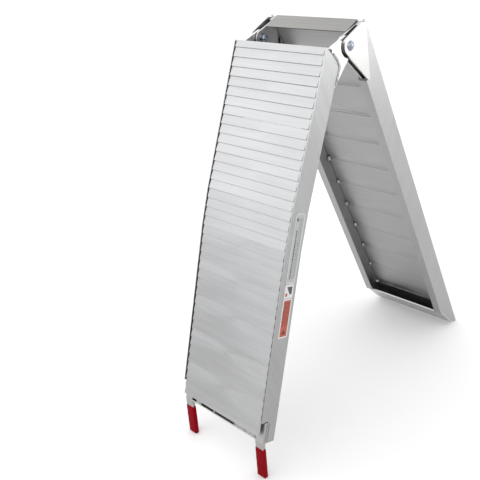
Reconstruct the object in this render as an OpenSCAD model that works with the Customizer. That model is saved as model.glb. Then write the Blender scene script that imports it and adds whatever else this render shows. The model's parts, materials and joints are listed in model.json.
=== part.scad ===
// Folding loading ramp, standing as an A on its finger tips and its foot.
// X runs along the hinge, -Y is the section that carries the fingers, +Z is up.
// Along a section, "s" is measured down from the pivot line and "d" is the
// depth below the tread face, towards the underside.

/* [Section] */
// outside width over both side rails
width = 300; // [250:1:360]
// depth of a side rail from tread level to its underside edge
rail_depth = 54.4; // [45:0.1:66]
// width of the box part of a side rail
rail_width = 25; // [20:0.5:32]
// wall thickness of the side rail
rail_wall = 2.2; // [1.8:0.1:4]
// thickness of the upright lip outside the planks
lip_thick = 3; // [2:0.1:4]
// height of the lip above tread level
lip_rise = 3.4; // [2:0.1:6]
// pitch of the planks along a section
plank_pitch = 97.5; // [80:0.5:118]
// thickness of a plank under its tread ribs
plank_thick = 18; // [14:0.5:22]
// skin thickness of a plank
plank_skin = 1.8; // [1.4:0.1:3]
// thickness of the two webs inside a plank
plank_web = 1.6; // [1.2:0.1:3]
// height of the tread ribs
rib_height = 2.8; // [2:0.1:5]
// tread ribs on one plank
rib_count = 4; // [3:1:5]
// gap between neighbouring planks
plank_gap = 0.6; // [0.4:0.1:1.2]

/* [Lengths] */
// planks on the finger section
front_planks = 10; // [9:1:11]
// planks on the foot section
rear_planks = 12; // [11:1:13]
// how far the finger section's end is below the pivot line
front_start = 20.3; // [18:0.1:24]
// how far the foot section's end is above the pivot line
rear_start = 20; // [17:0.1:20]
// depth of the pivot below tread level
pivot_depth = 75; // [68:0.5:84]
// angle between the two sections as it stands
fold_angle = 46.7; // [40:0.1:54]
// total bend of the finger section over its fifth plank
bend_angle = 5.5; // [4.6:0.1:6.6]

/* [Fingers] */
// width of a finger bar
finger_width = 26; // [22:0.5:30]
// thickness of a finger bar
finger_thick = 10; // [8:0.5:12]
// depth of the bar's upper face below tread level
finger_sink = 10.5; // [9:0.5:12]
// bend of the finger towards the underside
finger_bend = 16; // [13:0.5:19]
// length of the free finger after its bend
finger_free = 114; // [95:1:135]
// length of the rubber sleeve
sleeve_length = 95; // [80:1:104]
// wall of the rubber sleeve
sleeve_wall = 1.5; // [1.2:0.1:2]
// length of the notch cut in the rail for the bar
notch_length = 63; // [54:1:75]

/* [Hinge] */
// radius of the rounded hinge noses
nose_radius = 22; // [18:0.5:26]
// thickness of the single ear on the finger section
ear_thick = 14; // [12:0.5:16]
// thickness of the two plates on the foot section
plate_thick = 5; // [4:0.5:6]
// radius of the pivot bolt
bolt_radius = 6; // [5:0.1:7]
// radius of the domed bolt head
head_radius = 12; // [10:0.1:14]
// height of the domed bolt head
head_height = 6.5; // [5:0.1:8]
// length of the lock nut
nut_length = 11; // [9:0.5:13]
// outside radius of the washer
washer_radius = 12; // [10:0.1:14]
// thickness of the washer
washer_thick = 2; // [1.5:0.1:2.5]

/* [Foot] */
// angle between the foot plate and the section
foot_angle = 19.7; // [17:0.1:23]
// length of the foot plate
foot_plate_length = 83; // [70:1:90]
// thickness of the foot plate
foot_plate_thick = 4; // [3:0.1:5]
// thickness of the end plate at the hinge
end_plate_thick = 3; // [2.5:0.1:4]
// height of the end plate at the hinge
end_plate_height = 50; // [42:0.5:53]

/* [Part] */

/* [Hidden] */
// sideways clearance between moving hinge leaves
side_gap = 0.3;
// radial clearance of the pivot bolt in its bores
bore_gap = 0.05;
$fn = 48;

half = width / 2;
rail_in = half - rail_width;
// deepest point of the plank, and so the top of the rail's box
box_top = plank_thick;
hollow_top = box_top + rail_wall;
hollow_low = rail_depth - rail_wall;
// open line between the planks and the lips of the rails
lip_gap = 2.4;
plank_half = half - lip_thick - lip_gap;
// depth of the step where one plank hooks over the next
plank_hook = 0.8;

// joint lines: the first plank of each section is trimmed at the hinge
front_zero = 13;
rear_zero = -24.5;
front_end = front_zero + front_planks * plank_pitch;
rear_end = rear_zero + rear_planks * plank_pitch;
foot_end = rear_end + 12;
rail_end = front_end + 24;
bend_a = front_zero + 4 * plank_pitch;
bend_b = front_zero + 5 * plank_pitch;
notch_start = rail_end - notch_length;
finger_turn = rail_end - 4;

ear_out = half - side_gap;
ear_in = ear_out - ear_thick;
plate_in_out = ear_in - side_gap;
plate_in_in = plate_in_out - plate_thick;
ear_tail_out = half - rail_wall;

// relief in the ear's outer face, round a boss that bears on the outer plate
relief_depth = 7;
relief_width = 6.5;
boss_radius = 17;

// width of a weld bead and how far it stands proud
bead = 8;
bead_rise = 2.2;

// a frame is [y, z, lean, side]; side is -1 for the finger section, 1 for the foot section
function at(f, s, d) = [f[0] + f[3] * (s * sin(f[2]) - d * cos(f[2])),
                        f[1] - s * cos(f[2]) - d * sin(f[2])];
function top_frame(lean, side, y, z) = [y + side * pivot_depth * cos(lean),
                                        z + pivot_depth * sin(lean), lean, side];
function mid_frame(f) = [at(f, bend_a, 0)[0], at(f, bend_a, 0)[1], f[2] - bend_angle / 2, f[3]];
function low_frame(m) = [at(m, plank_pitch, 0)[0], at(m, plank_pitch, 0)[1],
                         m[2] - bend_angle / 2, m[3]];
function tip_frame(l) = [at(l, finger_turn - bend_b, finger_sink)[0],
                         at(l, finger_turn - bend_b, finger_sink)[1],
                         l[2] - finger_bend, l[3]];

// lean of the finger section that puts finger tips and foot on one level
tip_radius = 3;
tip_zero = tip_frame(low_frame(mid_frame(top_frame(0, -1, 0, 0))));
tip_point = at(tip_zero, finger_free + sleeve_wall, finger_thick + sleeve_wall - tip_radius);
tip_s = -tip_point[1];
tip_v = -tip_point[0];
lean_front = atan((tip_s - foot_end * cos(fold_angle) + pivot_depth * sin(fold_angle))
                  / (tip_v + foot_end * sin(fold_angle) + pivot_depth * cos(fold_angle)));
lean_rear = fold_angle - lean_front;
pivot_z = tip_s * cos(lean_front) - tip_v * sin(lean_front);

// the pivot stands where the middle of the whole footprint is at Y = 0
tip_first = tip_frame(low_frame(mid_frame(top_frame(lean_front, -1, 0, pivot_z))));
low_y = at(tip_first, finger_free + sleeve_wall - tip_radius, -sleeve_wall)[0];
high_y = at(top_frame(lean_rear, 1, 0, pivot_z), foot_end, -lip_rise)[0];
pivot_y = -(low_y + high_y) / 2;

FT = top_frame(lean_front, -1, pivot_y, pivot_z);
FM = mid_frame(FT);
FL = low_frame(FM);
FF = tip_frame(FL);
RT = top_frame(lean_rear, 1, pivot_y, pivot_z);

function f_at(s, d) = s <= bend_a ? at(FT, s, d)
                    : s <= bend_b ? at(FM, s - bend_a, d)
                    : at(FL, s - bend_b, d);
// points of the finger section's two mitres at depth d
mitre = tan(bend_angle / 4);
function m_a(d) = at(FT, bend_a - d * mitre, d);
function m_b(d) = at(FL, d * mitre, d);
function r_at(s, d) = at(RT, s, d);

// ---- shapes -------------------------------------------------------------

// side outline given in Y and Z, drawn out along X
module across(x0, x1, pts) {
  translate([x0, 0, 0])
    rotate([90, 0, 90])
      linear_extrude(height = x1 - x0)
        polygon(pts);
}

module pivot_rod(x0, x1, r) {
  translate([x0, pivot_y, pivot_z])
    rotate([0, 90, 0])
      cylinder(h = x1 - x0, r = r);
}

// left pieces are mirrored from the right ones
module both(left) {
  if (left) {
    mirror([1, 0, 0])
      children();
  } else {
    children();
  }
}

// the hinge end of a rail is cut on a slant to clear the other section's leaves
function front_cut(d) = front_start + max(d, 0) * 29.7 / 54.4;
function rear_cut(d) = -rear_start + max(d, 0) * 138 / 54.4;

module front_strip(x0, x1, d0, d1, s1) {
  across(x0, x1, [f_at(front_cut(d0), d0), m_a(d0), m_b(d0), f_at(s1, d0),
                  f_at(s1, d1), m_b(d1), m_a(d1), f_at(front_cut(d1), d1)]);
}

module front_rail() {
  color("silver")
    difference() {
      union() {
        front_strip(rail_in, half, box_top, rail_depth, rail_end);
        front_strip(half - lip_thick, half, -lip_rise, box_top + 1, notch_start);
      }
      front_hollow();
      front_notch();
    }
}

module front_hollow() {
  across(rail_in + rail_wall, half - rail_wall,
         [f_at(front_start - 5, hollow_top), m_a(hollow_top), m_b(hollow_top),
          f_at(rail_end + 1, hollow_top), f_at(rail_end + 1, hollow_low),
          m_b(hollow_low), m_a(hollow_low), f_at(front_start - 5, hollow_low)]);
}

module front_notch() {
  across(rail_in - 1, half + 1,
         [f_at(notch_start, -lip_rise - 1), f_at(rail_end + 8, -lip_rise - 1),
          at(FF, 10, finger_thick), at(FF, finger_thick * tan(finger_bend / 2), finger_thick),
          f_at(notch_start, finger_sink + finger_thick)]);
}

// the foot plate's outer face ends foot_tip short of the foot's tip, at this depth
foot_tip = 19.5;
foot_low = 22;
// size of the slanted cut at the foot's tip
foot_blunt = 8;
foot_s = foot_end - foot_tip;
// point w outside the foot plate's inner face and t up from its low end
function foot_at(t, w) = r_at(foot_s - t * cos(foot_angle) + (w - foot_plate_thick) * sin(foot_angle),
                              foot_low + t * sin(foot_angle) + (w - foot_plate_thick) * cos(foot_angle));
foot_mouth = foot_s - (foot_plate_length + 3) * cos(foot_angle);
function foot_inner(s) = foot_low + (foot_s - s) * tan(foot_angle) - foot_plate_thick / cos(foot_angle);

// what the plate and the blunt tip take off the rails and the last plank
module foot_cut(reach) {
  across(-reach, reach,
         [r_at(foot_mouth, rail_depth + 2), r_at(foot_mouth, foot_inner(foot_mouth)), foot_at(0, 0),
          r_at(foot_end - foot_blunt, foot_blunt), r_at(foot_end + 3, -3),
          r_at(foot_end + 3, rail_depth + 2)]);
}

module rear_rail() {
  color("silver")
    difference() {
      union() {
        across(rail_in, half,
               [r_at(rear_cut(box_top), box_top), r_at(foot_end, box_top),
                r_at(foot_end, rail_depth), r_at(rear_cut(rail_depth), rail_depth)]);
        across(half - lip_thick, half,
               [r_at(rear_cut(0), -lip_rise), r_at(foot_end, -lip_rise),
                r_at(foot_end, box_top + 1), r_at(rear_cut(box_top + 1) + 1, box_top + 1),
                r_at(rear_cut(box_top), box_top), r_at(rear_cut(0), 0)]);
      }
      across(rail_in + rail_wall, half - rail_wall,
             [r_at(-rear_start, hollow_top), r_at(foot_end + 1, hollow_top),
              r_at(foot_end + 1, hollow_low), r_at(-rear_start, hollow_low)]);
      foot_cut(half + 1);
    }
}

// one plank in frame f between s0 and s1; m0 and m1 are the slopes of its two ends
module plank(f, s0, s1, m0 = 0, m1 = 0) {
  rib = plank_pitch / rib_count;
  rib_drop = 0.9;
  first_row = s1 - plank_pitch;
  first = ceil((s0 - first_row) / rib + 0.15);
  a = s0 + plank_gap / 2;
  b = s1 - plank_gap / 2;
  low_a = a + plank_thick * m0;
  low_b = b - plank_thick * m1;
  edge = 0.4;
  groove = 7.7;
  slot = 0.9;
  inner = (b - a - 2 * plank_skin - 2 * plank_web - plank_thick * (m0 + m1)) / 3;
  inner_a = a + plank_skin + plank_thick * m0;
  steps = [for (k = [first : rib_count - 1])
             for (e = [0, 1])
               at(f, first_row + k * rib + e * rib_drop, (e - 1) * rib_height)];
  difference() {
    across(-plank_half, plank_half,
           concat([at(f, a, 0)], steps,
                  [at(f, b, -rib_height), at(f, b, plank_hook),
                   at(f, low_b, plank_thick - edge), at(f, low_b - edge, plank_thick),
                   at(f, low_b - groove + slot, plank_thick), at(f, low_b - groove + slot, plank_thick - slot),
                   at(f, low_b - groove, plank_thick - slot), at(f, low_b - groove, plank_thick),
                   at(f, low_a + edge, plank_thick),
                   at(f, low_a, plank_thick - edge)]));
    for (k = [0 : 2])
      across(-plank_half - 1, plank_half + 1,
             [at(f, inner_a + k * (inner + plank_web), plank_skin),
              at(f, inner_a + k * (inner + plank_web) + inner, plank_skin),
              at(f, inner_a + k * (inner + plank_web) + inner, plank_thick - plank_skin),
              at(f, inner_a + k * (inner + plank_web), plank_thick - plank_skin)]);
  }
}

module front_plank(k) {
  s1 = front_zero + k * plank_pitch;
  s0 = k == 1 ? front_start - plank_gap / 2 : s1 - plank_pitch;
  color("gainsboro")
    if (s1 <= bend_a + 1) {
      plank(FT, s0, s1, 0, abs(s1 - bend_a) < 1 ? mitre : 0);
    } else if (s1 <= bend_b + 1) {
      plank(FM, s0 - bend_a, s1 - bend_a, mitre, mitre);
    } else if (k < front_planks) {
      plank(FL, s0 - bend_b, s1 - bend_b, abs(s0 - bend_b) < 1 ? mitre : 0, 0);
    } else {
      difference() {
        plank(FL, s0 - bend_b, s1 - bend_b);
        last_plank_relief();
        mirror([1, 0, 0])
          last_plank_relief();
      }
    }
}

// the last plank keeps only its skin above the finger bars
module last_plank_relief() {
  across(half - finger_width - 1, half + 1,
         [f_at(notch_start, plank_skin), f_at(front_end + 5, plank_skin),
          f_at(front_end + 5, plank_thick + 1), f_at(notch_start, plank_thick + 1)]);
}

module rear_plank(k) {
  s1 = rear_zero + k * plank_pitch;
  s0 = k == 1 ? -rear_start + end_plate_thick : s1 - plank_pitch;
  color("gainsboro")
    difference() {
      plank(RT, s0, s1);
      if (k == rear_planks) {
        foot_cut(plank_half + 1);
      }
    }
}

// ---- finger end ---------------------------------------------------------

channel_low = 44;
channel_wall = 3;
channel_half = half - max(finger_width, rail_width);
channel_start = front_end - 20;
channel_end = rail_end - 5;
module front_end_channel() {
  w = channel_wall;
  color("silver")
    across(-channel_half, channel_half,
           [f_at(channel_start, plank_thick), f_at(front_end - 2, plank_thick),
            f_at(front_end - 2, plank_thick + w), f_at(channel_start + w, plank_thick + w),
            f_at(channel_start + w, channel_low - w), f_at(channel_end - w, channel_low - w),
            f_at(channel_end - w, finger_sink - 1), f_at(channel_end, finger_sink - 1),
            f_at(channel_end, channel_low), f_at(channel_start, channel_low)]);
}

// welds that bridge the slot between the last plank and the channel's lip, from X to X
slot_places = [[-105, -84], [-34.5, -31], [46, channel_half]];
module slot_weld_set() {
  lip_face = channel_end - channel_wall;
  color("lightgray")
    for (p = slot_places)
      across(p[0], p[1],
             [f_at(front_end, finger_sink - 2), f_at(lip_face, finger_sink - 1),
              f_at(lip_face, finger_sink + 3), f_at(front_end, finger_sink + 3)]);
}

module finger_bar() {
  color("silver")
    across(half - finger_width, half,
           [f_at(notch_start + 3, finger_sink), at(FF, 0, 0), at(FF, finger_free, 0),
            at(FF, finger_free, finger_thick),
            at(FF, finger_thick * tan(finger_bend / 2), finger_thick),
            f_at(notch_start + 3, finger_sink + finger_thick)]);
}

module sleeve() {
  t0 = finger_free - sleeve_length + sleeve_wall;
  t1 = finger_free + sleeve_wall;
  w0 = -sleeve_wall;
  w1 = finger_thick + sleeve_wall;
  r = tip_radius;
  color("darkred")
    difference() {
      across(half - finger_width - sleeve_wall, half + sleeve_wall,
             concat([at(FF, t0, w1), at(FF, t0, w0)],
                    [for (g = [0 : 15 : 90]) at(FF, t1 - r + r * sin(g), w0 + r - r * cos(g))],
                    [for (g = [0 : 15 : 90]) at(FF, t1 - r + r * cos(g), w1 - r + r * sin(g))]));
      across(half - finger_width, half,
             [at(FF, t0 - 1, 0), at(FF, finger_free, 0),
              at(FF, finger_free, finger_thick), at(FF, t0 - 1, finger_thick)]);
    }
}

// run of weld along the cut edge of the rail, under the bar
module finger_weld() {
  d0 = finger_sink + finger_thick - 0.5;
  d1 = d0 + 10;
  s0 = notch_start + 2;
  s1 = rail_end - 4;
  color("lightgray")
    across(half, half + bead_rise,
           [f_at(s0, d0 + 3.5), f_at(s0 + 4, d0), f_at(s1 - 3, d0), f_at(s1, d0 + 3.5),
            f_at(s1, d1 - 3.5), f_at(s1 - 3, d1), f_at(s0 + 4, d1), f_at(s0, d1 - 3.5)]);
}

// ---- hinge --------------------------------------------------------------

// point on the nose circle, angle g measured from +s towards the tread side
function nose(f, g) = at(f, nose_radius * cos(g), pivot_depth - nose_radius * sin(g));

module front_ear() {
  color("silver")
    difference() {
      union() {
        across(ear_in, ear_out,
               [f_at(front_start - 2, plank_thick + 1), f_at(front_cut(plank_thick + 1) - 0.2, plank_thick + 1),
                f_at(front_cut(rail_depth) - 0.2, rail_depth),
                f_at(front_cut(rail_depth) + 55, rail_depth + 0.2), nose(FT, -66), nose(FT, 142)]);
        pivot_rod(ear_in, ear_out, nose_radius);
        // tail that slides into the box of the rail
        across(ear_in, ear_tail_out,
               [f_at(front_cut(hollow_top) - 8, hollow_top), f_at(front_cut(rail_depth) + 70, hollow_top),
                f_at(front_cut(rail_depth) + 70, hollow_low), f_at(front_cut(hollow_low) - 8, hollow_low)]);
      }
      pivot_rod(ear_in - 1, ear_out + 1, bolt_radius + bore_gap);
      // relief round the boss that the outer plate's nose turns over
      difference() {
        pivot_rod(ear_out - relief_depth, ear_out + 1, nose_radius + relief_width);
        pivot_rod(ear_out - relief_depth - 1, ear_out + 2, boss_radius);
      }
    }
}

// bead along the cut end of the rail, then along its underside edge
module front_ear_weld() {
  cut = [front_cut(plank_thick + 1), front_cut(rail_depth)];
  color("lightgray")
    across(ear_out, half + bead_rise,
           [f_at(cut[0] + 0.4 - bead, plank_thick + 2), f_at(cut[0], plank_thick + 2),
            f_at(cut[1], rail_depth), f_at(cut[1] + 52, rail_depth + 0.2),
            f_at(cut[1] + 44, rail_depth + bead - 2), f_at(cut[1] - 1, rail_depth + bead - 1)]);
}

// depth of the outer plate's far edge at s
function plate_edge(s) = 2 + (s + rear_start - 6) * 45 / (112 + rear_start);

module outer_plate() {
  color("silver")
    difference() {
      union() {
        across(half, half + plate_thick,
               [r_at(-rear_start - 2, 12), r_at(-rear_start + 6, plate_edge(6 - rear_start)),
                r_at(118, plate_edge(118)), r_at(114, plate_edge(114) + 6),
                nose(RT, -66), nose(RT, 180)]);
        pivot_rod(half, half + plate_thick, nose_radius);
      }
      pivot_rod(half - 1, half + plate_thick + 1, bolt_radius + bore_gap);
    }
}

module inner_plate() {
  color("silver")
    difference() {
      union() {
        across(plate_in_in, plate_in_out,
               [r_at(-rear_start + end_plate_thick, plank_thick), r_at(rear_cut(box_top) - 0.3, plank_thick),
                r_at(rear_cut(hollow_top) - 0.3, hollow_top), r_at(150, hollow_top),
                r_at(150, hollow_low), r_at(rear_cut(hollow_low) - 0.3, hollow_low),
                nose(RT, -66), nose(RT, 158)]);
        pivot_rod(plate_in_in, plate_in_out, nose_radius);
      }
      pivot_rod(plate_in_in - 1, plate_in_out + 1, bolt_radius + bore_gap);
    }
}

module plate_weld() {
  color("lightgray")
    across(half, half + 2,
           [r_at(20, plate_edge(20)), r_at(108, plate_edge(108)),
            r_at(108, plate_edge(108) - 3), r_at(20, plate_edge(20) - 3)]);
}

module rear_end_plate() {
  color("silver")
    across(-plate_in_in, plate_in_in,
           [r_at(-rear_start, 0), r_at(-rear_start + end_plate_thick, 0),
            r_at(-rear_start + end_plate_thick, end_plate_height), r_at(-rear_start, end_plate_height)]);
}

module foot_plate() {
  color("silver")
    across(-half, half,
           [foot_at(0, 0), foot_at(foot_plate_length, 0),
            foot_at(foot_plate_length, foot_plate_thick), r_at(foot_s, foot_low)]);
}

module pivot_bolt() {
  reach = half + plate_thick - plate_in_in + washer_thick + nut_length + 2;
  sphere_r = (head_radius * head_radius + head_height * head_height) / (2 * head_height);
  color("gainsboro")
    translate([0, pivot_y, pivot_z])
      rotate([0, 90, 0])
        rotate_extrude() {
          translate([0, half + plate_thick - reach])
            square([bolt_radius, reach]);
          intersection() {
            translate([0, half + plate_thick + head_height - sphere_r])
              circle(r = sphere_r, $fn = 96);
            translate([0, half + plate_thick])
              square([head_radius, head_height + 1]);
          }
        }
}

module washer() {
  color("gainsboro")
    difference() {
      pivot_rod(plate_in_in - washer_thick, plate_in_in, washer_radius);
      pivot_rod(plate_in_in - washer_thick - 1, plate_in_in + 1, bolt_radius + bore_gap);
    }
}

module lock_nut() {
  x0 = plate_in_in - washer_thick - nut_length;
  across_flats = bolt_radius * 3.1;
  color("gainsboro")
    difference() {
      union() {
        translate([x0 + 3.5, pivot_y, pivot_z])
          rotate([0, 90, 0])
            cylinder(h = nut_length - 3.5, r = across_flats / sqrt(3), $fn = 6);
        pivot_rod(x0, x0 + nut_length, across_flats / 2 - 0.4);
      }
      pivot_rod(x0 - 1, x0 + nut_length + 1, bolt_radius + bore_gap);
    }
}

// ---- plank welds --------------------------------------------------------

weld_r = 6;
// quarter ball in the corner between rail and plank underside
module weld_blob(p, lean_point) {
  intersection() {
    translate([rail_in, p[0], p[1]])
      sphere(r = weld_r, $fn = 24);
    across(rail_in - weld_r - 1, rail_in, lean_point);
  }
}

module front_plank_weld_set() {
  color("lightgray")
    for (k = [1 : front_planks - 1]) {
      s = front_zero + k * plank_pitch;
      d = plank_thick;
      weld_blob(f_at(s, d), [f_at(s - 4.9, d + 0.3), f_at(s + 4.9, d + 0.3),
                             f_at(s + 4.9, d + 8), f_at(s - 4.9, d + 8)]);
    }
}

module rear_plank_weld_set() {
  color("lightgray")
    for (k = [1 : rear_planks - 1]) {
      s = rear_zero + k * plank_pitch;
      d = plank_thick;
      weld_blob(r_at(s, d), [r_at(s - 9, d), r_at(s + 9, d), r_at(s + 9, d + 9), r_at(s - 9, d + 9)]);
    }
}

// ---- labels -------------------------------------------------------------

label_film = 0.3;
label_top = 13;
label_low = 45;
// a label that reaches over the lower mitre follows it
module label(s0, s1) {
  over = s0 < bend_b && s1 > bend_b;
  across(half, half + label_film,
         concat([f_at(s0, label_top)], over ? [m_b(label_top)] : [], [f_at(s1, label_top), f_at(s1, label_low)],
                over ? [m_b(label_low)] : [], [f_at(s0, label_low)]));
}

// ---- nodes --------------------------------------------------------------

both(true) front_rail();  // front_rail_left
both(false) front_rail();  // front_rail_right
both(true) rear_rail();  // rear_rail_left
both(false) rear_rail();  // rear_rail_right
front_plank(1);  // front_plank_01
front_plank(2);  // front_plank_02
front_plank(3);  // front_plank_03
front_plank(4);  // front_plank_04
front_plank(5);  // front_plank_05
front_plank(6);  // front_plank_06
front_plank(7);  // front_plank_07
front_plank(8);  // front_plank_08
front_plank(9);  // front_plank_09
front_plank(10);  // front_plank_10
rear_plank(1);  // rear_plank_01
rear_plank(2);  // rear_plank_02
rear_plank(3);  // rear_plank_03
rear_plank(4);  // rear_plank_04
rear_plank(5);  // rear_plank_05
rear_plank(6);  // rear_plank_06
rear_plank(7);  // rear_plank_07
rear_plank(8);  // rear_plank_08
rear_plank(9);  // rear_plank_09
rear_plank(10);  // rear_plank_10
rear_plank(11);  // rear_plank_11
rear_plank(12);  // rear_plank_12
front_end_channel();
both(true) finger_bar();  // finger_bar_left
both(false) finger_bar();  // finger_bar_right
both(true) sleeve();  // sleeve_left
both(false) sleeve();  // sleeve_right
for (m = [true, false]) both(m) finger_weld();  // finger_welds
slot_weld_set();  // slot_welds
both(true) front_ear();  // front_ear_left
both(false) front_ear();  // front_ear_right
for (m = [true, false]) both(m) front_ear_weld();  // front_ear_welds
for (m = [true, false]) both(m) front_plank_weld_set();  // front_plank_welds
rear_end_plate();
both(true) outer_plate();  // outer_plate_left
both(false) outer_plate();  // outer_plate_right
both(true) inner_plate();  // inner_plate_left
both(false) inner_plate();  // inner_plate_right
for (m = [true, false]) both(m) plate_weld();  // plate_welds
for (m = [true, false]) both(m) rear_plank_weld_set();  // rear_plank_welds
foot_plate();
both(true) pivot_bolt();  // pivot_bolt_left
both(false) pivot_bolt();  // pivot_bolt_right
both(true) lock_nut();  // lock_nut_left
both(false) lock_nut();  // lock_nut_right
both(true) washer();  // washer_left
both(false) washer();  // washer_right
color("whitesmoke") label(405, 582);  // label_silver
color("white") label(584, 619);  // label_picture
color("orangered") label(621, 723);  // label_red
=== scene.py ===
import json
import random
from math import atan2, cos, pi, radians, sin

import bmesh
import bpy
from mathutils import Matrix, Vector


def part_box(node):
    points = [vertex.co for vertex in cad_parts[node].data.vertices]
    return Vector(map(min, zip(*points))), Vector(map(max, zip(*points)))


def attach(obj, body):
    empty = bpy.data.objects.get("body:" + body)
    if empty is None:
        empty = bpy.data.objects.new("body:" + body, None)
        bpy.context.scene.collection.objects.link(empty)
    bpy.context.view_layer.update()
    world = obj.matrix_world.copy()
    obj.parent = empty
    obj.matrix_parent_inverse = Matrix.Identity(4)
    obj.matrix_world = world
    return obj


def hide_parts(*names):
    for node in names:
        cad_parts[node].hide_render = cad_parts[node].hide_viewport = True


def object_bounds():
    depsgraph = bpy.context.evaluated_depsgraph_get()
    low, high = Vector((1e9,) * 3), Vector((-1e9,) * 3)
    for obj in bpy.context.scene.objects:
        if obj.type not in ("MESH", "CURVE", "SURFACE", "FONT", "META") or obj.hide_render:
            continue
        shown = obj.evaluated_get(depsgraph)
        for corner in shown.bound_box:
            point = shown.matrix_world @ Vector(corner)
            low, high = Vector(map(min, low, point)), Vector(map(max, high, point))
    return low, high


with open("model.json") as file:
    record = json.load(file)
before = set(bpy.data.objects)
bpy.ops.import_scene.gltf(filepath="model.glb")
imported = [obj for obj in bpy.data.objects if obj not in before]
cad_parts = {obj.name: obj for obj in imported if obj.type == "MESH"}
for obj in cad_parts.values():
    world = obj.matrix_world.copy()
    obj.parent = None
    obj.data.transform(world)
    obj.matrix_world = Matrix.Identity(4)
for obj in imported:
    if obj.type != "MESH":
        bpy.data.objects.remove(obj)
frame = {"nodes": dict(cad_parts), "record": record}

cad_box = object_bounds()
nodes = frame["nodes"]
record = frame["record"]
joint = record["behaviour"]["joints"][0]
PIVOT = Vector(joint["pos_m"])


# ---- materials ------------------------------------------------------------

def new_material(name):
    mat = bpy.data.materials.new(name)
    mat.use_nodes = True
    tree = mat.node_tree
    tree.nodes.clear()
    out = tree.nodes.new("ShaderNodeOutputMaterial")
    bsdf = tree.nodes.new("ShaderNodeBsdfPrincipled")
    tree.links.new(bsdf.outputs["BSDF"], out.inputs["Surface"])
    return mat, tree, bsdf


def stretched(tree, scale, lean=0.0):
    """Object coordinates turned so that local Z runs down a section leaning by that angle."""
    coord = tree.nodes.new("ShaderNodeTexCoord")
    turn = tree.nodes.new("ShaderNodeMapping")
    turn.vector_type = "POINT"
    turn.inputs["Rotation"].default_value = (lean, 0, 0)
    size = tree.nodes.new("ShaderNodeMapping")
    size.vector_type = "POINT"
    size.inputs["Scale"].default_value = scale
    tree.links.new(coord.outputs["Object"], turn.inputs["Vector"])
    tree.links.new(turn.outputs["Vector"], size.inputs["Vector"])
    return size.outputs["Vector"]


def noise(tree, vector, scale=1.0, detail=4.0, roughness=0.55):
    made = tree.nodes.new("ShaderNodeTexNoise")
    made.inputs["Scale"].default_value = scale
    made.inputs["Detail"].default_value = detail
    made.inputs["Roughness"].default_value = roughness
    tree.links.new(vector, made.inputs["Vector"])
    return made.outputs["Fac"]


def ramp(tree, value, low, high, at_low=0.3, at_high=0.7):
    """Maps a 0 to 1 value to numbers or colours between low and high."""
    made = tree.nodes.new("ShaderNodeValToRGB")
    as_colour = [(*v, 1) if isinstance(v, tuple) else (v, v, v, 1) for v in (low, high)]
    made.color_ramp.elements[0].position = at_low
    made.color_ramp.elements[1].position = at_high
    made.color_ramp.elements[0].color = as_colour[0]
    made.color_ramp.elements[1].color = as_colour[1]
    tree.links.new(value, made.inputs["Fac"])
    return made.outputs["Color"]


def mixed(tree, a, b, factor, mode="MIX"):
    made = tree.nodes.new("ShaderNodeMix")
    made.data_type = "RGBA"
    made.blend_type = mode
    if isinstance(factor, float):
        made.inputs["Factor"].default_value = factor
    else:
        tree.links.new(factor, made.inputs["Factor"])
    for value, socket in ((a, made.inputs["A"]), (b, made.inputs["B"])):
        if isinstance(value, tuple):
            socket.default_value = (*value, 1)
        else:
            tree.links.new(value, socket)
    return made.outputs["Result"]


def edge_mask(tree, radius=0.0012):
    """About 1 on sharp edges and 0 on flats, from the difference a small rounding makes."""
    bevel = tree.nodes.new("ShaderNodeBevel")
    bevel.samples = 4
    bevel.inputs["Radius"].default_value = radius
    geo = tree.nodes.new("ShaderNodeNewGeometry")
    dot = tree.nodes.new("ShaderNodeVectorMath")
    dot.operation = "DOT_PRODUCT"
    tree.links.new(bevel.outputs["Normal"], dot.inputs[0])
    tree.links.new(geo.outputs["Normal"], dot.inputs[1])
    return ramp(tree, dot.outputs["Value"], 1.0, 0.0, 0.93, 0.995)


def crevice_shade_mask(tree, reach, low=0.35, high=0.85):
    """About 1 where surfaces meet closer than reach and 0 in the open, used to paint shade into
    crevices.
    """
    shade = tree.nodes.new("ShaderNodeAmbientOcclusion")
    shade.samples = 6
    shade.inputs["Distance"].default_value = reach
    return ramp(tree, shade.outputs["AO"], 1.0, 0.0, low, high)


def bump(tree, bsdf, height, strength, distance=0.0004, normal=None):
    made = tree.nodes.new("ShaderNodeBump")
    made.inputs["Strength"].default_value = strength
    made.inputs["Distance"].default_value = distance
    tree.links.new(height, made.inputs["Height"])
    if normal is not None:
        tree.links.new(normal, made.inputs["Normal"])
    tree.links.new(made.outputs["Normal"], bsdf.inputs["Normal"])
    return made.outputs["Normal"]


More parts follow.
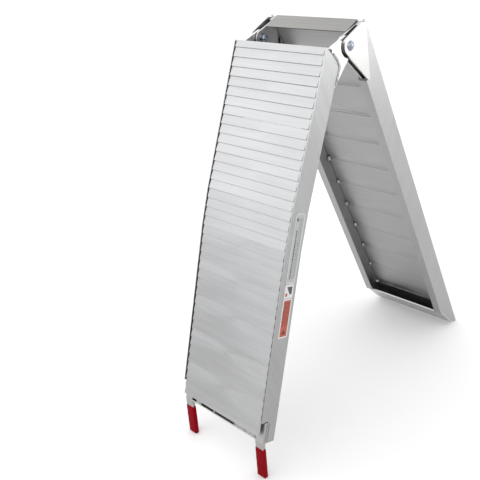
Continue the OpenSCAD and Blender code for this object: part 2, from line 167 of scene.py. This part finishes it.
def aluminium(name, light, dark, lines_along, lean=0.0, rough=(0.3, 0.46), grain=0.25,
              aniso=0.45, shade_reach=0.005):
    """Mill or brushed aluminium whose fine lines follow X ("x") or the section ("s"), with painted
    shade where surfaces meet closely.
    """
    mat, tree, bsdf = new_material(name)
    line_scale = (6, 420, 420) if lines_along == "x" else (420, 420, 6)
    lines = noise(tree, stretched(tree, line_scale, lean), 1.0, 3.0, 0.6)
    broad_scale = (3, 60, 60) if lines_along == "x" else (60, 60, 3)
    broad = noise(tree, stretched(tree, broad_scale, lean), 1.0, 2.0, 0.5)
    cloud = noise(tree, stretched(tree, (7, 7, 7)), 1.0, 5.0, 0.6)
    speck = noise(tree, stretched(tree, (900, 900, 900)), 1.0, 2.0, 0.5)
    tone = ramp(tree, lines, dark, light)
    tone = mixed(tree, tone, ramp(tree, broad, dark, light, 0.25, 0.75), 0.45)
    clouded = tuple(c * 0.86 for c in light)
    # Lighter colour for sharp edges.
    lighter_edge = tuple(min(1.0, c * 1.12) for c in light)
    # Colour of the painted shade in crevices.
    painted_crevice_shade = tuple(c * 0.30 for c in dark)
    tone = mixed(tree, tone, ramp(tree, cloud, clouded, light, 0.35, 0.65), 0.2)
    # Sharp edges are painted lighter.
    tone = mixed(tree, tone, lighter_edge, edge_mask(tree))
    # Painted shade: darker where surfaces meet closely.
    tone = mixed(tree, tone, painted_crevice_shade, crevice_shade_mask(tree, shade_reach, 0.42, 0.88))
    tree.links.new(tone, bsdf.inputs["Base Color"])
    bsdf.inputs["Metallic"].default_value = 1.0
    finish = mixed(tree, ramp(tree, broad, rough[0], rough[1], 0.3, 0.7),
                   ramp(tree, cloud, rough[0], rough[1], 0.35, 0.7), 0.2)
    tree.links.new(finish, bsdf.inputs["Roughness"])
    bsdf.inputs["Anisotropic"].default_value = aniso
    first = bump(tree, bsdf, lines, grain, 0.00012)
    bump(tree, bsdf, speck, 0.10, 0.00006, first)
    return mat


def weld_material():
    mat, tree, bsdf = new_material("weld_bead")
    cell = tree.nodes.new("ShaderNodeTexVoronoi")
    cell.inputs["Scale"].default_value = 420
    tree.links.new(stretched(tree, (1, 1, 1)), cell.inputs["Vector"])
    cloud = noise(tree, stretched(tree, (160, 160, 160)), 1.0, 4.0, 0.6)
    tone = ramp(tree, cloud, (0.20, 0.20, 0.20), (0.44, 0.44, 0.445))
    # Painted shade: nearly black where the bead meets the metal round it.
    tone = mixed(tree, tone, (0.05, 0.05, 0.05), crevice_shade_mask(tree, 0.003, 0.42, 0.80))
    tree.links.new(tone, bsdf.inputs["Base Color"])
    bsdf.inputs["Metallic"].default_value = 1.0
    tree.links.new(ramp(tree, cloud, 0.28, 0.5), bsdf.inputs["Roughness"])
    first = bump(tree, bsdf, cell.outputs["Distance"], 0.5, 0.0005)
    bump(tree, bsdf, cloud, 0.3, 0.0004, first)
    return mat


def zinc_material():
    mat, tree, bsdf = new_material("bright_zinc")
    cloud = noise(tree, stretched(tree, (120, 120, 120)), 1.0, 4.0, 0.6)
    tone = ramp(tree, cloud, (0.15, 0.18, 0.24), (0.40, 0.42, 0.46))
    tree.links.new(tone, bsdf.inputs["Base Color"])
    bsdf.inputs["Metallic"].default_value = 1.0
    tree.links.new(ramp(tree, cloud, 0.14, 0.26), bsdf.inputs["Roughness"])
    bump(tree, bsdf, cloud, 0.12, 0.0002)
    return mat


def vinyl_material():
    mat, tree, bsdf = new_material("dipped_vinyl")
    cloud = noise(tree, stretched(tree, (40, 40, 18)), 1.0, 4.0, 0.6)
    peel = noise(tree, stretched(tree, (380, 380, 380)), 1.0, 2.0, 0.5)
    runs = noise(tree, stretched(tree, (160, 160, 8)), 1.0, 2.0, 0.5)
    tone = ramp(tree, cloud, (0.150, 0.0004, 0.003), (0.200, 0.0008, 0.005))
    tone = mixed(tree, tone, (0.120, 0.0004, 0.003), ramp(tree, runs, 0.0, 0.5, 0.45, 0.75))
    # Painted highlight: lighter red along the sleeve's edges.
    tone = mixed(tree, tone, (0.27, 0.003, 0.012), edge_mask(tree, 0.0016))
    tree.links.new(tone, bsdf.inputs["Base Color"])
    tree.links.new(ramp(tree, cloud, 0.42, 0.56), bsdf.inputs["Roughness"])
    bsdf.inputs["Specular IOR Level"].default_value = 0.03
    first = bump(tree, bsdf, peel, 0.18, 0.0002)
    bump(tree, bsdf, cloud, 0.2, 0.0008, first)
    return mat


def film_material(name, low, high, rough, metallic=0.0):
    mat, tree, bsdf = new_material(name)
    cloud = noise(tree, stretched(tree, (30, 30, 30)), 1.0, 4.0, 0.6)
    fine = noise(tree, stretched(tree, (600, 600, 600)), 1.0, 2.0, 0.5)
    tone = mixed(tree, ramp(tree, cloud, low, high), ramp(tree, fine, low, high), 0.3)
    tree.links.new(tone, bsdf.inputs["Base Color"])
    bsdf.inputs["Metallic"].default_value = metallic
    tree.links.new(ramp(tree, cloud, rough, rough + 0.1), bsdf.inputs["Roughness"])
    bump(tree, bsdf, cloud, 0.08, 0.0003)
    return mat


# ---- places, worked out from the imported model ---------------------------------

def centre(name):
    low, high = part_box(name)
    return (low + high) / 2


def direction(first, last):
    """Unit vector down a section, between the centres of two pieces of one straight run."""
    way = centre(last) - centre(first)
    way.x = 0
    return way.normalized()


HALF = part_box("front_rail_right")[1].x
PIVOT_DEPTH = 0.075         # tread level to pivot, metres
RAIL_DEPTH = 0.0544         # tread level to the rail's underside, metres
RAIL_WIDTH = 0.025
FRONT_DOWN = direction("front_plank_02", "front_plank_03")
FRONT_LOW = direction("front_plank_07", "front_plank_08")
REAR_DOWN = direction("rear_plank_02", "rear_plank_11")
LABEL_DOWN = direction("label_silver", "label_picture")
FINGER_OUT = -Vector(record["mounts"][1]["axis"])
FINGER_DOWN = Vector((0, FINGER_OUT.z, -FINGER_OUT.y))


def facing(down, side):
    """Outward normal of a tread; side is -1 for the finger section and 1 for the foot section."""
    return Vector((0, -side * down.z, side * down.y))


def front_spot(s, d, x):
    """Point on the finger section's upper straight run: s down from the pivot, d below tread level."""
    lift = facing(FRONT_DOWN, -1) * (PIVOT_DEPTH - d)
    return Vector((x, PIVOT.y, PIVOT.z)) + FRONT_DOWN * s + lift


SAME_POINT = 1e-6           # mesh points closer than this are one, metres


def solids(name):
    """Points of each separate solid inside one CAD node."""
    mesh = bmesh.new()
    mesh.from_mesh(nodes[name].data)
    bmesh.ops.remove_doubles(mesh, verts=mesh.verts, dist=SAME_POINT)
    found, seen = [], set()
    for start in mesh.verts:
        if start in seen:
            continue
        stack, group = [start], []
        seen.add(start)
        while stack:
            vert = stack.pop()
            group.append(vert.co.copy())
            for edge in vert.link_edges:
                other = edge.other_vert(vert)
                if other not in seen:
                    seen.add(other)
                    stack.append(other)
        found.append(group)
    mesh.free()
    return found


def right_hand_box(name):
    """Corners of the box round the solid at the right, in a node with one solid at each side."""
    group = next(points for points in solids(name) if points[0].x > 0)
    return [Vector(tuple(pick(p[i] for p in group) for i in range(3))) for pick in (min, max)]


# ---- materials on the pieces ---------------------------------------------------

def section_lean(down):
    """Angle about X that turns local Z onto a section."""
    return atan2(down.y, -down.z)


RAIL_LIGHT, RAIL_DARK = (0.40, 0.40, 0.403), (0.32, 0.32, 0.323)
RAIL_ROUGH = (0.30, 0.40)
PLATE_ROUGH = (0.32, 0.44)

tread_alu = aluminium("tread_alu", (0.41, 0.41, 0.413), (0.33, 0.33, 0.333), "x",
                      rough=(0.32, 0.42), aniso=0.5, shade_reach=0.0008)
rail_alu_front = aluminium("rail_alu_front", RAIL_LIGHT, RAIL_DARK, "s",
                           section_lean(FRONT_LOW), RAIL_ROUGH, grain=0.2, aniso=0.0)
rail_alu_rear = aluminium("rail_alu_rear", RAIL_LIGHT, RAIL_DARK, "s",
                          section_lean(REAR_DOWN), RAIL_ROUGH, grain=0.2, aniso=0.0)
end_alu = aluminium("end_alu", (0.265, 0.26, 0.25), (0.165, 0.162, 0.155), "x",
                    rough=(0.34, 0.46), grain=0.35, aniso=0.0)
ear_alu = aluminium("ear_alu", (0.60, 0.598, 0.592), (0.52, 0.518, 0.512), "x",
                    rough=PLATE_ROUGH, aniso=0.0)
foot_alu = aluminium("foot_alu", (0.54, 0.54, 0.535), (0.44, 0.44, 0.435), "x",
                     rough=PLATE_ROUGH, aniso=0.0)
leaf_alu = aluminium("leaf_alu", (0.53, 0.528, 0.522), (0.45, 0.448, 0.443), "x",
                     rough=PLATE_ROUGH, aniso=0.0)
bar_alu = aluminium("bar_alu", (0.42, 0.42, 0.415), (0.33, 0.33, 0.325), "s",
                    section_lean(FRONT_LOW), (0.42, 0.54), grain=0.3, aniso=0.0)
weld_metal = weld_material()
zinc = zinc_material()
vinyl = vinyl_material()
silver_film = film_material("silver_film", (0.30, 0.305, 0.31), (0.36, 0.365, 0.37), 0.3, 0.25)
white_film = film_material("white_film", (0.46, 0.46, 0.455), (0.54, 0.54, 0.535), 0.38)
red_film = film_material("red_film", (0.29, 0.050, 0.028), (0.34, 0.066, 0.036), 0.36)
ink = film_material("dark_ink", (0.03, 0.03, 0.03), (0.06, 0.06, 0.06), 0.4)
grey_ink = film_material("grey_ink", (0.14, 0.145, 0.15), (0.18, 0.185, 0.19), 0.4)
dark_red_ink = film_material("dark_red_ink", (0.085, 0.012, 0.008), (0.11, 0.016, 0.010), 0.4)


def dress(name, material, rounding=0.0, flat_faces=False):
    """Gives a CAD piece its material and, where asked, small round edges."""
    obj = nodes[name]
    obj.data.materials.clear()
    obj.data.materials.append(material)
    if rounding:
        joined = obj.modifiers.new("joined", "WELD")
        joined.merge_threshold = 1e-5
        soft = obj.modifiers.new("round_edges", "BEVEL")
        soft.width = rounding
        soft.segments = 2
        soft.limit_method = "ANGLE"
        soft.angle_limit = radians(28)
        if flat_faces:
            even = obj.modifiers.new("even_normals", "WEIGHTED_NORMAL")
            even.keep_sharp = False


for name in nodes:
    if "plank_" in name and "welds" not in name:
        dress(name, tread_alu, rounding=0.0003, flat_faces=True)
    elif name.startswith("front_rail"):
        dress(name, rail_alu_front, rounding=0.0005)
    elif name.startswith("rear_rail"):
        dress(name, rail_alu_rear, rounding=0.0005)
    elif name.startswith("sleeve"):
        dress(name, vinyl)
    elif name.startswith("finger_bar"):
        dress(name, bar_alu, rounding=0.0007)
    elif name.startswith(("pivot_bolt", "lock_nut", "washer")):
        dress(name, zinc, rounding=0.0004)
    elif name.startswith("outer_plate"):
        dress(name, leaf_alu)
    elif name == "foot_plate":
        dress(name, foot_alu, rounding=0.0006)
    elif name == "rear_end_plate":
        dress(name, end_alu, rounding=0.0006)
    elif name.startswith("front_ear"):
        dress(name, ear_alu, rounding=0.0006)
    elif name == "label_silver":
        dress(name, silver_film)
    elif name in ("label_picture", "label_red"):
        dress(name, white_film)
    elif not name.endswith("welds"):
        dress(name, leaf_alu, rounding=0.0006)


# ---- weld beads ---------------------------------------------------------------

def new_piece(name, mesh, body, material, smooth=True):
    data = bpy.data.meshes.new(name)
    mesh.normal_update()
    bmesh.ops.recalc_face_normals(mesh, faces=mesh.faces)
    mesh.to_mesh(data)
    mesh.free()
    if smooth:
        data.polygons.foreach_set("use_smooth", [True] * len(data.polygons))
    piece = bpy.data.objects.new(name, data)
    bpy.context.collection.objects.link(piece)
    data.materials.append(material)
    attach(piece, body)
    return piece


def along(path, step):
    """Even steps down a list of points, as (point, heading, share of the whole length)."""
    lengths = [(b - a).length for a, b in zip(path, path[1:])]
    total = sum(lengths)
    count = max(4, int(total / step))
    for i in range(count + 1):
        left = total * i / count
        for a, b, length in zip(path, path[1:], lengths):
            if left <= length + 1e-9:
                yield a.lerp(b, left / length), (b - a).normalized(), i / count
                break
            left -= length


def add_bead(mesh, path, out, width, height, dice, pitch=0.0021):
    """Rippled bead on a face whose outward normal is out: stacked round ripples with tapered ends."""
    ring_count = 10             # facets over the crown
    total = sum((b - a).length for a, b in zip(path, path[1:]))
    rings = []
    for point, heading, share in along(path, pitch / 5):
        run = share * total
        end = min(1.0, min(run, total - run) / (width * 0.5) + 0.12) ** 0.5
        ripple = abs(sin(pi * run / pitch)) ** 0.7
        wobble = 1 + 0.10 * sin(run * 900 + dice[0]) + 0.07 * sin(run * 2300 + dice[1])
        across = heading.cross(out).normalized()
        half_w = width / 2 * end * wobble * (0.93 + 0.07 * ripple)
        rise = height * end * (0.78 + 0.22 * ripple)
        shift = heading * (pitch * 0.35)
        ring = []
        for k in range(ring_count + 1):
            turn = pi * k / ring_count
            spot = point + across * (half_w * cos(turn)) + out * (rise * sin(turn)) - shift * sin(turn)
            ring.append(mesh.verts.new(spot))
        rings.append(ring)
    for first, second in zip(rings, rings[1:]):
        for k in range(ring_count):
            mesh.faces.new((first[k], first[k + 1], second[k + 1], second[k]))
        mesh.faces.new((first[ring_count], first[0], second[0], second[ring_count]))
    mesh.faces.new(rings[0])
    mesh.faces.new(list(reversed(rings[-1])))


def add_blob(mesh, point, reach, corner_x, corner_out, down, rng):
    """Lumpy tack of weld in the corner between a rail's inner face and a plank's underside."""
    made = bmesh.ops.create_icosphere(mesh, subdivisions=3, radius=1.0)["verts"]
    lumps = [rng.uniform(0, 6.28) for _ in range(4)]
    for vert in made:
        v = vert.co.copy()
        lump = (1 + 0.10 * sin(5 * v.x + lumps[0]) * sin(4 * v.y + lumps[1])
                + 0.07 * sin(9 * v.z + lumps[2]) * sin(8 * v.x + lumps[3]))
        away = max(0.0, v.x) * reach[0] * lump
        off = max(0.0, v.y) * reach[1] * lump
        vert.co = point + corner_x * away + corner_out * off + down * (v.z * reach[2] * lump)


def mirrored(spots):
    for side in (-1, 1):
        yield side, [Vector((side * p.x, p.y, p.z)) for p in spots]


END_SLOPE = 29.7 / 54.4     # run of the finger rail's hinge end for each metre of depth
END_START = 0.0203          # where the line of that end meets tread level, metres from the pivot
SUNK = 0.0003               # the ear's bead starts this far inside the rail's outer face


def ear_weld():
    """Bead down the slanted end of each finger rail, then along its underside."""
    mesh = bmesh.new()
    face = HALF - SUNK
    corner = END_START + END_SLOPE * RAIL_DEPTH
    # two points down the slanted end, one past its corner, one along the underside
    path = [front_spot(END_START + END_SLOPE * 0.0215 - 0.0036, 0.0225, face),
            front_spot(END_START + END_SLOPE * 0.045 - 0.0042, 0.045, face),
            front_spot(corner + 0.003, RAIL_DEPTH + 0.0036, face),
            front_spot(corner + 0.048, RAIL_DEPTH + 0.0026, face)]
    for side, spots in mirrored(path):
        add_bead(mesh, spots, Vector((side, 0, 0)), width=0.0076, height=0.0022,
                 dice=(side, 2 * side), pitch=0.0026)
    piece = new_piece("ear_weld_beads", mesh, "finger_section", weld_metal)
    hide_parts("front_ear_welds")


def plate_weld():
    """Bead along the slanted far edge of each outer hinge plate."""
    mesh = bmesh.new()
    low, high = right_hand_box("plate_welds")
    near = Vector((HALF, low.y, high.z))
    far = Vector((HALF, high.y, low.z))
    way = (far - near).normalized()
    inset = 0.002
    path = [near + way * inset, far - way * inset]
    for side, spots in mirrored(path):
        add_bead(mesh, spots, Vector((side, 0, 0)), width=0.0036, height=0.0019,
                 dice=(3 * side, side))
    piece = new_piece("plate_weld_beads", mesh, "foot_section", weld_metal)
    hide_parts("plate_welds")


def finger_weld():
    """Narrow loop of raised bead on each rail's outer face, in place of the plain finger weld."""
    mesh = bmesh.new()
    low, high = right_hand_box("finger_welds")
    middle = (low + high) / 2
    out = facing(FRONT_LOW, -1)
    reach, spread = 0.0258, 0.0036      # half the loop's length and half its height
    for side in (-1, 1):
        base = Vector((side * HALF, middle.y, middle.z))
        for lift in (-spread, spread):
            path = [base - FRONT_LOW * reach + out * lift, base + FRONT_LOW * reach + out * lift]
            add_bead(mesh, path, Vector((side, 0, 0)), width=0.0030, height=0.0014,
                     dice=(lift * 900, side), pitch=0.0024)
        for ending in (-1, 1):
            path = [base + FRONT_LOW * (ending * reach) + out * spread,
                    base + FRONT_LOW * (ending * reach) - out * spread]
            add_bead(mesh, path, Vector((side, 0, 0)), width=0.0028, height=0.0013,
                     dice=(ending, side), pitch=0.0024)
    piece = new_piece("finger_weld_beads", mesh, "finger_section", weld_metal)
    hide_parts("finger_welds")


TACK_REACH = (0.0090, 0.0076, 0.0092)   # along X, out of the tread's underside, down the section


def plank_tacks(node_name, down, side_sign, body, seed):
    """Lumpy tacks in place of the plain ones of a node, each at a rail's inner face."""
    mesh = bmesh.new()
    rng = random.Random(seed)
    under = -facing(down, side_sign)
    for points in solids(node_name):
        side = 1 if points[0].x > 0 else -1
        runs = [p.dot(down) for p in points]
        corner = (Vector((side * (HALF - RAIL_WIDTH), 0, 0)) + down * ((min(runs) + max(runs)) / 2)
                  + under * min(p.dot(under) for p in points))
        size = rng.uniform(0.9, 1.1)
        reach = tuple(length * size for length in TACK_REACH)
        add_blob(mesh, corner, reach, Vector((-side, 0, 0)), under, down, rng)
    bmesh.ops.remove_doubles(mesh, verts=mesh.verts, dist=1e-5)
    piece = new_piece(node_name.replace("welds", "tacks"), mesh, body, weld_metal)
    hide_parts(node_name)


def sleeve(side_name):
    """Dipped vinyl sleeve: a soft-cornered boot with a rolled, slightly wavy mouth."""
    node_name = "sleeve_" + side_name
    source = nodes[node_name].data
    out = FINGER_OUT
    down = FINGER_DOWN
    runs = [v.co.dot(down) for v in source.vertices]
    lifts = [v.co.dot(out) for v in source.vertices]
    xs = [v.co.x for v in source.vertices]
    mid_lift = (min(lifts) + max(lifts)) / 2
    mid_x = (min(xs) + max(xs)) / 2
    base = down * min(runs) + out * mid_lift + Vector((mid_x, 0, 0))
    length = max(runs) - min(runs) - 0.0002     # a little short of the CAD sleeve
    half_w, half_t = (max(xs) - min(xs)) / 2, (max(lifts) - min(lifts)) / 2
    wall = 0.0014
    steps, corner_steps = 26, 5
    mesh = bmesh.new()

    def outline(shrink, corner):
        points = []
        for cx, cy, start in ((1, 1, 0), (-1, 1, 90), (-1, -1, 180), (1, -1, 270)):
            for k in range(corner_steps + 1):
                turn = radians(start + 90 * k / corner_steps)
                points.append(((half_w - shrink - corner) * cx + corner * cos(turn),
                               (half_t - shrink - corner) * cy + corner * sin(turn)))
        return points

    def ring(run, shrink, corner, wave=0.0):
        verts = []
        for px, py in outline(shrink, corner):
            dip = wave * (1 - abs(px) / half_w) * 0.0016 + wave * 0.0004 * sin(900 * px)
            verts.append(mesh.verts.new(base + down * (run + dip) + Vector((px, 0, 0)) + out * py))
        return verts

    corner = 0.0021
    # each ring: distance down the sleeve, inset, corner radius, share of the mouth's wave
    profile = [(0.006, wall, 0.0008, 1.0), (0.0006, wall, 0.0008, 1.0), (0.0, wall * 0.55, 0.0013, 1.0),
               (0.0007, wall * 0.12, 0.0018, 1.0), (0.0018, 0.0, corner, 0.8)]
    for k in range(1, steps + 1):
        share = k / steps
        swell = 0.00025 * sin(pi * share) + 0.0001 * sin(23 * share)
        profile.append((0.0018 + (length - 0.0058) * share, 0.0003 - swell, corner, 0.0))
    for turn in (25, 50, 70, 85):
        profile.append((length - 0.0045 + 0.0042 * sin(radians(turn)),
                        0.0004 + 0.0040 * (1 - cos(radians(turn))), corner + 0.0004, 0.0))
    profile = [(run, shrink + 0.00012, corner, wave) for run, shrink, corner, wave in profile]
    rings = [ring(*entry) for entry in profile]
    for first, second in zip(rings, rings[1:]):
        count = len(first)
        for k in range(count):
            mesh.faces.new((first[k], first[(k + 1) % count], second[(k + 1) % count], second[k]))
    mesh.faces.new(rings[0])
    mesh.faces.new(list(reversed(rings[-1])))
    piece = new_piece("vinyl_sleeve_" + side_name, mesh, "finger_section", vinyl)
    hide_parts(node_name)


ear_weld()
plate_weld()
finger_weld()
plank_tacks("rear_plank_welds", REAR_DOWN, side_sign=1, body="foot_section", seed=5)
sleeve("left")
sleeve("right")
dress("slot_welds", weld_metal, rounding=0.0008)
dress("front_plank_welds", weld_metal, rounding=0.0003)


# ---- print on the labels ------------------------------------------------------

PRINT_FILM = 0.00006        # thickness of the print on a label, metres


def label_axes(name, down):
    """A label's outer face in X, its span down a section, its span below the tread, and outward."""
    mesh = nodes[name].data
    out = facing(down, -1)
    runs = [v.co.dot(down) for v in mesh.vertices]
    lifts = [v.co.dot(out) for v in mesh.vertices]
    x = max(v.co.x for v in mesh.vertices)
    return x, (min(runs), max(runs)), (max(lifts), min(lifts)), out


def print_block(mesh, name, down, u0, u1, v0, v1):
    """Thin printed block on a label: u runs down the label and v from the tread side, both 0 to 1."""
    x, runs, lifts, out = label_axes(name, down)
    corners = []
    for u, v in ((u0, v0), (u1, v0), (u1, v1), (u0, v1)):
        run = runs[0] + (runs[1] - runs[0]) * u
        lift = lifts[0] + (lifts[1] - lifts[0]) * v
        corners.append(down * run + out * lift + Vector((x, 0, 0)))
    lower = [mesh.verts.new(c) for c in corners]
    upper = [mesh.verts.new(c + Vector((PRINT_FILM, 0, 0))) for c in corners]
    mesh.faces.new(lower)
    mesh.faces.new(upper)
    for k in range(4):
        mesh.faces.new((lower[k], lower[(k + 1) % 4], upper[(k + 1) % 4], upper[k]))


def frame_blocks(mesh, name, down, u0, u1, v0, v1, thick_u, thick_v):
    """Printed border round a rectangle of a label."""
    print_block(mesh, name, down, u0, u1, v0, v0 + thick_v)
    print_block(mesh, name, down, u0, u1, v1 - thick_v, v1)
    print_block(mesh, name, down, u0, u0 + thick_u, v0, v1)
    print_block(mesh, name, down, u1 - thick_u, u1, v0, v1)


def printed(name, mesh, material):
    return new_piece(name, mesh, "finger_section", material, False)


def lifted_block(mesh, name, down, u0, u1, v0, v1):
    """Printed block on top of another printed block."""
    before = len(mesh.verts)
    print_block(mesh, name, down, u0, u1, v0, v1)
    mesh.verts.ensure_lookup_table()
    for vert in mesh.verts[before:]:
        vert.co.x += PRINT_FILM


def dashes(mesh, name, down, span, row, dice, lengths, gap, lifted=False):
    """Row of plain bars of uneven length between two places along a label."""
    block = lifted_block if lifted else print_block
    u = span[0]
    while u < span[1] - lengths[0]:
        end = min(u + dice.uniform(*lengths), span[1])
        block(mesh, name, down, u, end, *row)
        u = end + gap


def silver_label_print():
    rng = random.Random(4)
    border = bmesh.new()
    frame_blocks(border, "label_silver", LABEL_DOWN, u0=0.004, u1=0.996, v0=0.03, v1=0.97,
                 thick_u=0.011, thick_v=0.055)
    printed("label_silver_border", border, white_film)
    marks = bmesh.new()
    dashes(marks, "label_silver", LABEL_DOWN, span=(0.24, 0.93), row=(0.29, 0.40), dice=rng,
           lengths=(0.016, 0.055), gap=0.007)
    print_block(marks, "label_silver", LABEL_DOWN, u0=0.07, u1=0.11, v0=0.20, v1=0.36)
    printed("label_silver_bars", marks, ink)
    lines = bmesh.new()
    for v in (0.50, 0.60, 0.70, 0.80):
        dashes(lines, "label_silver", LABEL_DOWN, span=(0.07, 0.93), row=(v, v + 0.035), dice=rng,
               lengths=(0.02, 0.08), gap=0.008)
    printed("label_silver_lines", lines, grey_ink)


def picture_label_print():
    wedge = bmesh.new()
    for k in range(8):
        u = 0.16 + 0.07 * k
        print_block(wedge, "label_picture", LABEL_DOWN, u, u + 0.0705, 0.24 + 0.05 * k, 0.82)
    printed("label_picture_wedge", wedge, ink)
    spot = bmesh.new()
    for k in range(6):
        v = 0.12 + 0.04 * k
        reach = 0.13 * (1 - ((k - 2.5) / 3.2) ** 2) ** 0.5
        print_block(spot, "label_picture", LABEL_DOWN, 0.74 - reach, 0.74 + reach, v, v + 0.041)
    printed("label_picture_spot", spot, red_film)


def red_label_print():
    field = bmesh.new()
    print_block(field, "label_red", FRONT_LOW, u0=0.035, u1=0.965, v0=0.10, v1=0.90)
    printed("label_red_field", field, red_film)
    marks = bmesh.new()
    rng = random.Random(11)
    for v, tall in ((0.22, 0.10), (0.40, 0.05), (0.52, 0.05), (0.64, 0.05), (0.76, 0.05)):
        dashes(marks, "label_red", FRONT_LOW, span=(0.08, 0.70), row=(v, v + tall), dice=rng,
               lengths=(0.04, 0.13), gap=0.02, lifted=True)
    for k in range(7):
        u = 0.78 + 0.018 * k
        half = 0.034 * k + 0.02
        lifted_block(marks, "label_red", FRONT_LOW, u, u + 0.02, 0.50 - half, 0.50 + half)
    printed("label_red_bars", marks, dark_red_ink)


silver_label_print()
picture_label_print()
red_label_print()


# ---- studio ---------------------------------------------------------------

def plain_floor():
    """Pale plane just under the model, wide enough to fill the view."""
    mesh = bpy.data.meshes.new("studio_floor")
    half = 40.0
    corners = [(-half, -half, 0), (half, -half, 0), (half, half, 0), (-half, half, 0)]
    mesh.from_pydata(corners, [], [(0, 1, 2, 3)])
    floor = bpy.data.objects.new("studio_floor", mesh)
    floor.location.z = cad_box[0][2] - 0.0005
    bpy.context.collection.objects.link(floor)
    mat, _, bsdf = new_material("pale_floor")
    bsdf.inputs["Base Color"].default_value = (0.73, 0.727, 0.72, 1)
    bsdf.inputs["Roughness"].default_value = 0.9
    mesh.materials.append(mat)


def soft_light(name, place, aim, size, power):
    data = bpy.data.lights.new(name, "AREA")
    data.shape = "RECTANGLE"
    data.size, data.size_y = size
    data.energy = power
    lamp = bpy.data.objects.new(name, data)
    lamp.location = place
    lamp.rotation_euler = (Vector(aim) - Vector(place)).to_track_quat("-Z", "Y").to_euler()
    bpy.context.collection.objects.link(lamp)


SKY_HEIGHTS = (0.05, 0.30, 0.55, 0.88)      # Z of the direction looked at, 1 straight up
SKY_LEVELS = (0.36, 0.94, 0.94, 0.26)
SKY_STRENGTH = 2.6
KEY_WAY = (-0.74, -0.67, 0)                 # towards the front left
FAR_SIDE_LEVEL = 0.78                       # brightness of the side away from it


def studio_world():
    """Soft light, brightest above the horizon at the front left and softer overhead."""
    world = bpy.data.worlds.new("studio")
    world.use_nodes = True
    tree = world.node_tree
    coord = tree.nodes.new("ShaderNodeTexCoord")
    parts = tree.nodes.new("ShaderNodeSeparateXYZ")
    tree.links.new(coord.outputs["Generated"], parts.inputs["Vector"])
    bands = tree.nodes.new("ShaderNodeValToRGB")
    stops = bands.color_ramp.elements
    stops[0].position, stops[1].position = SKY_HEIGHTS[0], SKY_HEIGHTS[3]
    for place in SKY_HEIGHTS[1:3]:
        stops.new(place)
    for stop, level in zip(stops, SKY_LEVELS):
        stop.color = (level * 0.985, level * 0.992, level, 1)
    tree.links.new(parts.outputs["Z"], bands.inputs["Fac"])
    facing_key = tree.nodes.new("ShaderNodeVectorMath")
    facing_key.operation = "DOT_PRODUCT"
    facing_key.inputs[1].default_value = KEY_WAY
    tree.links.new(coord.outputs["Generated"], facing_key.inputs[0])
    key_side = tree.nodes.new("ShaderNodeMapRange")
    key_side.inputs["From Min"].default_value = -0.9
    key_side.inputs["From Max"].default_value = 0.8
    key_side.inputs["To Min"].default_value = FAR_SIDE_LEVEL
    key_side.inputs["To Max"].default_value = 1.0
    tree.links.new(facing_key.outputs["Value"], key_side.inputs["Value"])
    sky = mixed(tree, bands.outputs["Color"], key_side.outputs["Result"], 1.0, "MULTIPLY")
    tree.links.new(sky, tree.nodes["Background"].inputs["Color"])
    tree.nodes["Background"].inputs["Strength"].default_value = SKY_STRENGTH
    bpy.context.scene.world = world


plain_floor()
studio_world()
middle = Vector((0, 0, PIVOT.z * 0.55))
soft_light("overhead", (-0.6, -0.4, 4.6), middle, size=(4.0, 4.0), power=60)
soft_light("low_right", (4.2, 4.4, 0.95), Vector((0, 0, 0.75)), size=(3.6, 1.7), power=75)

# ---- camera ---------------------------------------------------------------

AZIMUTH, ELEVATION, ROLL = 48.5, 26.3, -7.0     # degrees
FOCAL = 53.7                                     # mm on a 36 mm frame
TURN = Matrix.Rotation(radians(0.66), 4, "X")    # the stored lean against the fitted one
from_pivot = Vector((1.2065, -1.345, 0.364))     # metres

aim = (TURN @ Matrix.Rotation(radians(AZIMUTH), 4, "Z")
       @ Matrix.Rotation(radians(90 - ELEVATION), 4, "X")
       @ Matrix.Rotation(radians(ROLL), 4, "Z"))
lens = bpy.data.cameras.new("camera")
lens.lens = FOCAL
lens.sensor_width = 36.0
lens.clip_end = 200
camera = bpy.data.objects.new("camera", lens)
camera.matrix_world = Matrix.Translation(PIVOT + TURN @ from_pivot) @ aim
bpy.context.collection.objects.link(camera)
bpy.context.scene.camera = camera

bpy.context.scene.view_settings.view_transform = "Standard"
